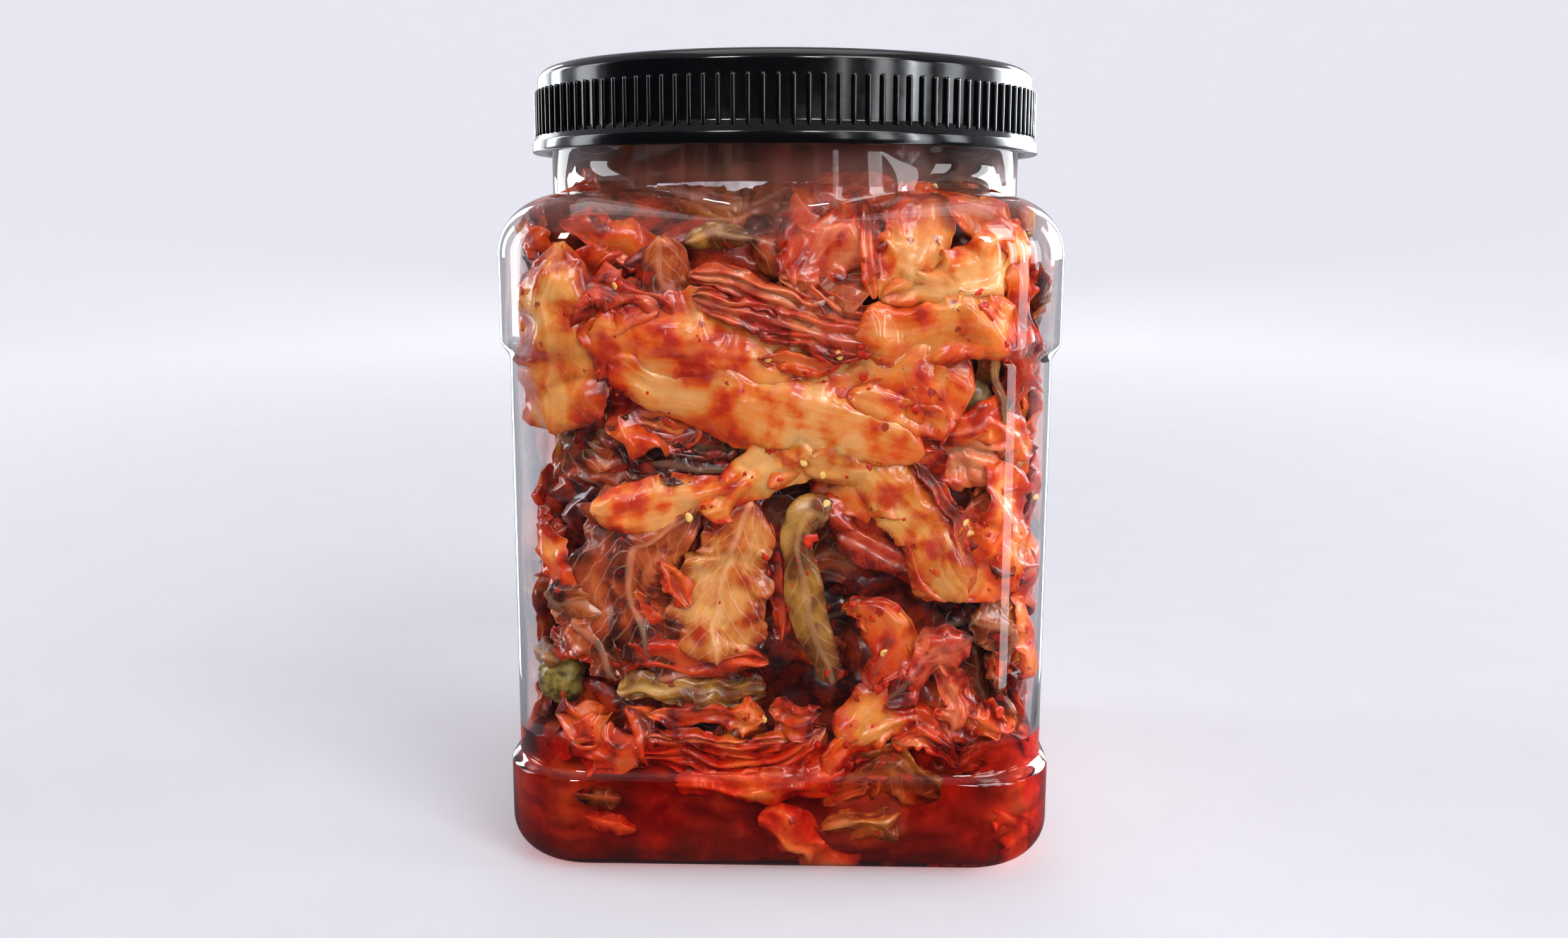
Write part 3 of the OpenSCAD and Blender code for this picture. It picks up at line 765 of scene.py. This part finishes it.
def jar_turns():
    """Angles close together in the corners and at the mould line in the middle of two faces."""
    face = math.degrees(math.atan(CORNER_AT / HALF_W))
    eighth = np.concatenate([np.linspace(0, face, 11), np.linspace(face, 45, 17)[1:]])
    quarter = np.concatenate([eighth, 90 - eighth[-2:0:-1]])
    turns = np.concatenate([quarter + 90 * side for side in range(4)])
    seams = [middle + step for middle in (90, 270) for step in (-0.6, -0.3, 0.3, 0.6)]
    return np.sort(np.concatenate([turns, seams]))


def make_jar(material):
    """Body and neck as one clear shell: up the outside, over the rim and down the inside."""
    turns = jar_turns()
    seam = 0.07 * np.maximum(0, 1 - np.abs((turns % 180) - 90) / 0.3)
    panel_z = LOWER_BAND_H + LOWER_STEP_H
    heel = 1 - np.cos(np.linspace(0, math.pi / 2, 13))
    step = np.linspace(0.08, 1, 12)
    levels = np.concatenate([
        np.linspace(10, LOWER_BAND_H, 4), LOWER_BAND_H + LOWER_STEP_H * step,
        np.linspace(panel_z + 4, PANEL_TOP_Z, 16), PANEL_TOP_Z + UPPER_STEP_H * step,
        np.linspace(PANEL_TOP_Z + UPPER_STEP_H + 2, SHOULDER_Z - 3, 6),
        SHOULDER_Z - 2 + (SHOULDER_H + 2) * np.sin(np.linspace(0, math.pi / 2, 26))])
    outside = [ring(turns, jar_reach(turns, z) + seam * (panel_z < z < PANEL_TOP_Z + 0.5), z)
               for z in np.concatenate([HEEL_R * heel, levels])]
    bead_z, bead_h, lip = LID_Z + 0.4, 1.6, 0.3
    bead = [ring(turns, NECK_R + BEAD_OUT * math.sin(math.pi * share) ** 0.5, bead_z + bead_h * share)
            for share in np.linspace(0, 1, 7)]
    bore_r = NECK_R - WALL
    rim = [(NECK_R, RIM_Z - lip), (NECK_R - lip, RIM_Z), (bore_r + lip, RIM_Z), (bore_r, RIM_Z - lip)]
    rim = [ring(turns, reach, z) for reach, z in rim]
    inside = np.array([ring(turns, jar_reach(turns, z, WALL, FLOOR_T), z)
                       for z in np.concatenate([FLOOR_T + (HEEL_R - WALL) * heel, levels])][::-1])
    above_floor = inside[..., 2:] > FLOOR_T + 4
    inside += unit(inside * (1, 1, 0)) * (0.1 * ripple(inside, 30))[..., None] * above_floor
    jar = Pile()
    jar.add(np.concatenate([outside, bead, rim, inside]))
    jar.make("clear_jar", material, "clear_plastic", "jar", "neck")


def make_lid(material):
    """A closed shell with a flange at its foot, a recessed top and grip ribs round its skirt."""
    skirt_in = NECK_R + 1.5
    skirt = skirt_in + 1.4
    flange = skirt + 1.4
    round_r, round_h, recess_h = 3.5, 2.3, 0.6
    recess_r = skirt - round_r - 6.5
    under = [(recess_r * 0.6, RIM_Z + 0.02), (skirt_in - 0.5, RIM_Z + 0.02), (skirt_in, RIM_Z - 0.5)]
    side = [(skirt_in, LID_Z + 0.2), (skirt_in + 0.3, LID_Z), (flange - 0.3, LID_Z),
            (flange - 0.08, LID_Z + 0.1), (flange, LID_Z + 0.35), (flange, LID_Z + 2.2),
            (flange - 0.1, LID_Z + 2.45), (flange - 0.35, LID_Z + 2.75), (skirt + 0.35, LID_Z + 4.1),
            (skirt + 0.1, LID_Z + 4.35), (skirt, LID_Z + 4.7), (skirt, LID_TOP_Z - 2.6)]
    edge = [(skirt - round_r + round_r * math.sin(t), LID_TOP_Z - round_h + round_h * math.cos(t) ** 1.3)
            for t in np.linspace(1.5, 0, 14)]
    top = [(recess_r + 0.5, LID_TOP_Z), (recess_r + 0.1, LID_TOP_Z - 0.08),
           (recess_r - 0.5, LID_TOP_Z - 0.52), (recess_r - 0.9, LID_TOP_Z - recess_h),
           (recess_r * 0.6, LID_TOP_Z - recess_h)]
    turns = np.linspace(0, 360, 240, endpoint=False)
    shell = Pile()
    shell.add(np.array([ring(turns, reach, z) for reach, z in under + side + edge + top]))

    rib_count, rib_half, rib_out = 120, 0.5, 0.85
    low, high = LID_Z + 3.5, LID_TOP_Z - 4.9
    ends = np.linspace(0, math.pi / 2, 5)
    heights = np.concatenate([low + rib_half * (1 - np.cos(ends)),
                              high - rib_half * (1 - np.cos(ends[::-1]))])
    girths = np.concatenate([np.sin(ends), np.sin(ends[::-1])]) * 0.9 + 0.1
    rib_turn = full_turn(12)
    x = skirt + rib_out - rib_half + rib_half * np.cos(rib_turn)[None] * girths[:, None]
    y = rib_half * np.sin(rib_turn)[None] * girths[:, None]
    z = np.repeat(heights[:, None], len(rib_turn), 1)
    for i in range(rib_count):
        way = 2 * math.pi * i / rib_count
        c, s = math.cos(way), math.sin(way)
        shell.add(np.stack([x * c - y * s, x * s + y * c, z], -1))
    shell.make("black_lid", material, "black_plastic", "lid")


def make_brine(material, cloud_material):
    """Clear liquid that reaches a little into the wall, and the sediment in it."""
    turns = np.linspace(0, 360, 200, endpoint=False)
    into_wall = 0.35
    heel = 1 - np.cos(np.linspace(0, math.pi / 2, 10))
    levels = np.concatenate([FLOOR_T + (HEEL_R - WALL) * heel, np.linspace(10.5, BRINE_Z - 0.4, 26),
                             [BRINE_Z - 0.1, BRINE_Z]])
    rings = np.array([ring(turns, jar_reach(turns, z, WALL, FLOOR_T) + into_wall, z) for z in levels])
    rings[0, :, 2] -= into_wall
    liquid, cloud = Pile(), Pile()
    liquid.add(rings)
    liquid.make("brine_liquid", material, "brine", "brine")
    cloud.add(lumpy(FLOOR_T + 1.2, BRINE_Z - 1, 5, 1.6, 24))
    cloud.make("brine_sediment", cloud_material, "brine")


def make_smear(material):
    """Thin film of brine and paste left on the inside of the neck and shoulder, whose colour is partly
    painted shade.
    """
    turns = np.linspace(0, 360, 140, endpoint=False)
    heights = np.linspace(SHOULDER_Z + 1, RIM_Z - 2, 24)
    into_wall, thick = 0.25, 0.12
    outer = [ring(turns, reach_in(turns, z) + into_wall, z) for z in heights]
    inner = [ring(turns, reach_in(turns, z) - thick, z) for z in heights[::-1]]
    smear = Pile()
    smear.add(np.array(outer + inner), loop=True)
    smear.make("neck_smear_and_shade", material, "brine")


def make_green(node, material, name):
    """Rolled leaf in a green CAD piece's place: an uneven ovoid with its leaf edges wound round it."""
    low, high = corners(node)
    centre, half = (low + high) / 2, (high - low) / 2
    windings = 2
    turn = full_turn(52)
    rings = []
    for t in np.linspace(0.02, math.pi - 0.02, 44):
        wound = ((turn / (2 * math.pi) + t * 0.35) * windings) % 1
        step = 1 - 0.1 * np.exp(-wound * 9) - 0.02 * np.sin(turn * 7 + t * 5)
        r = math.sin(t) ** 0.85 * step
        z = np.full(len(turn), half[2] * math.cos(t))
        rings.append(np.stack([half[0] * r * np.cos(turn), half[1] * r * np.sin(turn), z], -1))
    rings = np.array(rings)
    rings *= (0.95 + 0.045 * ripple(rings, 7))[..., None]
    ball = Pile()
    ball.add(rings + centre)
    ball.make(name, material, "green_leaf", node)


def make_flakes(material, seed_material, sources):
    """Chilli flakes and pale seeds stuck to pieces near the wall and to the wall itself."""
    count, every_seed, near_wall, sides = 460, 20, 1.6, 9
    flakes, seeds = Pile(), Pile()
    points = np.concatenate([np.vstack(pile.points) for pile in sources])
    turn = np.degrees(np.arctan2(points[:, 1], points[:, 0]))
    gap = reach_in(turn, points[:, 2]) - np.hypot(points[:, 0], points[:, 1])
    near = points[(gap < near_wall) & (points[:, 2] > BRINE_Z)]
    turn = full_turn(sides)
    for i, spot in enumerate(near[rng.choice(len(near), count, replace=False)]):
        out = unit(spot * (1, 1, 0) + rng.normal(0, 6, 3))
        side = unit(np.cross(out, rng.normal(size=3)))
        up = np.cross(out, side)
        is_seed = i % every_seed == 0
        pile, rag, squat, thick = (seeds, 0.05, 0.75, 0.22) if is_seed else (flakes, 0.3, 0.85, 0.14)
        size = rng.uniform(0.8, 1.1) if is_seed else 0.3 + rng.exponential(0.28)
        ragged = 1 + rag * rng.normal(size=sides)
        round_spot = np.cos(turn)[:, None] * side + squat * np.sin(turn)[:, None] * up
        flat = size * ragged[:, None] * round_spot
        rise = out * thick
        rings = np.array([spot - rise + flat * 0.6, spot - rise * 0.4 + flat,
                          spot + rise * 0.4 + flat, spot + rise + flat * 0.6])
        pile.add(settle(rings, 0.3, 0.5))
    flakes.make("chilli_flakes", material, "kimchi")
    seeds.make("chilli_seeds", seed_material, "kimchi")


# ---- Stage, light and camera ----

def paper_finish():
    """Pale paper that glows a little far from the jar. What the plastic mirrors of it is a dark room,
    half as much behind the jar, so that the jar's edges stay pale."""
    s = Shader("paper")
    place = s.node("TexCoord", {}).outputs["Object"]
    fine = s.noise(place, 40.0, 3.0, 0.5)
    away = s.node("VectorMath", {0: place}, operation="LENGTH").outputs["Value"]
    pale = s.surface(
        Base_Color=s.mix(fine, srgb(208, 208, 214), srgb(213, 213, 219)), Roughness=0.9,
        Specular_IOR_Level=0.0, Emission_Color=srgb(240, 239, 243),
        Emission_Strength=s.span(away, 0.2, 1.5, 0.06, 0.36))
    path = s.node("LightPath", {})
    mirrored = s.maths("LESS_THAN", 0.5, path.outputs["Glossy Depth"])
    mirrored = s.maths("MULTIPLY", mirrored, s.maths("LESS_THAN", path.outputs["Diffuse Depth"], 0.5))
    depth = s.node("SeparateXYZ", {0: place}).outputs[1]
    mirrored = s.maths("MULTIPLY", mirrored, s.span(depth, -0.12, 0.12, 1.0, 0.5))
    room = s.surface(Base_Color=srgb(40, 40, 46), Roughness=0.9, Specular_IOR_Level=0.0)
    return s.finish(s.node("MixShader", {0: mirrored, 1: pale, 2: room}).outputs[0])


def make_stage():
    """A pale floor that curves up into a round wall, with an open top."""
    floor_r, bend_r, around = 1.5, 1.0, 96
    bend = np.linspace(0.15, math.pi / 2, 12)
    profile = [(0.02, 0), (0.3, 0), (0.8, 0), (floor_r, 0)]
    profile += [(floor_r + bend_r * math.sin(t), bend_r - bend_r * math.cos(t)) for t in bend]
    profile += [(floor_r + bend_r, 1.6), (floor_r + bend_r, 2.4)]
    turns = full_turn(around)
    points = [(r * math.cos(t), r * math.sin(t), z) for r, z in profile for t in turns]
    faces = []
    for j in range(len(profile) - 1):
        for i in range(around):
            here, there = j * around + i, j * around + (i + 1) % around
            faces.append((here, there, there + around, here + around))
    faces.append(tuple(range(around - 1, -1, -1)))
    mesh = bpy.data.meshes.new("floor")
    mesh.from_pydata(points, [], faces)
    mesh.polygons.foreach_set("use_smooth", [True] * len(mesh.polygons))
    mesh.materials.append(paper_finish())
    show("floor", mesh)


def make_lamp(name, at, size, watts, colour, seen="all"):
    """A soft rectangular lamp aimed at the jar. One seen as a window makes only reflections, and one
    seen as fill makes none."""
    aim = Vector((0, 0, 0.09))
    lamp = bpy.data.lights.new(name, "AREA")
    lamp.shape = "RECTANGLE"
    lamp.size, lamp.size_y = size
    lamp.energy = watts
    lamp.color = colour
    holder = show(name, lamp)
    holder.location = at
    holder.rotation_euler = (aim - Vector(at)).to_track_quat("-Z", "Y").to_euler()
    holder.visible_camera = False
    holder.visible_diffuse = seen != "window"
    holder.visible_glossy = seen != "fill"
    holder.visible_transmission = seen == "all"


def make_ring_lamps(name, away, z, size_z, colour, seen, lamps):
    """Lamps round the jar, each at its angle from the front, with its width and watts."""
    for angle, width, watts in lamps:
        a = math.radians(angle)
        at = (away * math.sin(a), -away * math.cos(a), z)
        make_lamp("%s_%d" % (name, angle), at, (width, size_z), watts, colour, seen)


def make_light():
    warm, white, cool = (1.0, 0.99, 0.97), (1.0, 1.0, 1.0), (0.93, 0.97, 1.0)
    make_lamp("key", (0.75, -0.85, 1.15), (0.6, 0.6), 8, warm)
    make_lamp("left", (-1.2, 0.15, 0.35), (0.3, 0.8), 4, (0.93, 0.96, 1.0))
    make_lamp("top", (0, 0.3, 1.7), (1.2, 1.2), 5.5, white)
    fills = ((0, 1.2, 2), (90, 1.2, 1), (180, 1.2, 3.2), (270, 1.2, 2.4))
    windows = ((26, 0.07, 0.7), (44, 0.16, 2.0), (80, 0.24, 2.6), (112, 0.2, 2.2))
    mirrors = ((58, 0.05, 2.2), (128, 0.6, 30), (152, 0.14, 7), (-124, 0.2, 5), (-150, 0.1, 4))
    make_ring_lamps("fill", 1.5, 0.75, 0.9, warm, "fill", fills)
    make_ring_lamps("window", 1.3, 0.4, 0.6, cool, "all", windows)
    make_ring_lamps("mirror", 1.3, 0.4, 0.6, (0.9, 0.96, 1.0), "window", mirrors)
    make_lamp("streak_right", (0.15, -0.116, 0.1), (0.03, 0.2), 0.1, cool, "window")
    make_lamp("edge_right", (0.109, 0.063, 0.1), (0.03, 0.2), 0.06, cool, "window")
    make_lamp("edge_left", (-0.116, 0.059, 0.1), (0.03, 0.2), 0.06, cool, "window")
    make_lamp("glint_left", (-0.55, -1.05, 0.95), (0.26, 0.26), 8, white, "window")
    make_lamp("glint_right", (0.3, -1.2, 0.85), (0.18, 0.24), 5, white, "window")
    world = bpy.data.worlds.new("sky")
    world.use_nodes = True
    sky = world.node_tree.nodes["Background"]
    sky.inputs["Color"].default_value = srgb(228, 227, 233)
    sky.inputs["Strength"].default_value = 0.36
    bpy.context.scene.world = world


def make_camera():
    camera = show("camera", bpy.data.cameras.new("camera"))
    camera.data.lens = 33.24
    camera.data.clip_start = 0.02
    swing, down, roll = (math.radians(degrees) for degrees in (1.31, 9.66, 0.18))
    place = Matrix.Translation((0.0078, -0.3422, 0.1354))
    turn = Matrix.Rotation(swing, 4, "Z") @ Matrix.Rotation(math.pi / 2 - down, 4, "X")
    camera.matrix_world = place @ turn @ Matrix.Rotation(roll, 4, "Z")
    bpy.context.scene.camera = camera


# ---- The scene ----

make_camera()
bpy.context.scene.view_settings.view_transform = "Standard"
make_jar(clear_plastic_finish())
make_lid(black_plastic_finish())

lay_top()
lay_middle()
lay_foot()
lay_sunk()
scatter_sides()
near_looks = ("flame", "red", "rose", "orange", "mauve", "flame")
scatter_inner(inner_leaves, 28, (5, 8), (12, 20), near_looks, 28, 24)
scatter_inner(deep_leaves, 30, (9, 13), (12, 18), ("plum", "brown", "red", "mauve", "red"), 20, 18)
wet_cabbage = cabbage_finish()
slabs.make("front_slabs", wet_cabbage, "kimchi", "kimchi")
for name, pile in (("front_leaves", leaves), ("side_slabs", side_slabs), ("side_leaves", side_leaves),
                   ("inner_leaves", inner_leaves), ("deep_leaves", deep_leaves),
                   ("sunk_leaves", sunk_leaves)):
    pile.make(name, wet_cabbage, "kimchi")
make_core(wet_cabbage)

make_brine(brine_finish(), cloud_finish())
make_smear(smear_and_shade_finish())
dark_green = speckled_finish("dark_green", (58, 50, 20), (150, 124, 60), 0.1, 0.3)
brown_green = speckled_finish("brown_green", (84, 62, 34), (140, 112, 70), 0.2, 0.35)
make_green("low_green_piece", dark_green, "rolled_leaf_low")
make_green("high_green_piece", brown_green, "rolled_leaf_high")
chilli_red = speckled_finish("chilli_red", (150, 20, 8), (206, 46, 14), 0.2)
seed_yellow = speckled_finish("seed_yellow", (214, 160, 70), (238, 196, 110), 0.3)
make_flakes(chilli_red, seed_yellow, (slabs, leaves, side_slabs, side_leaves))

make_stage()
make_light()
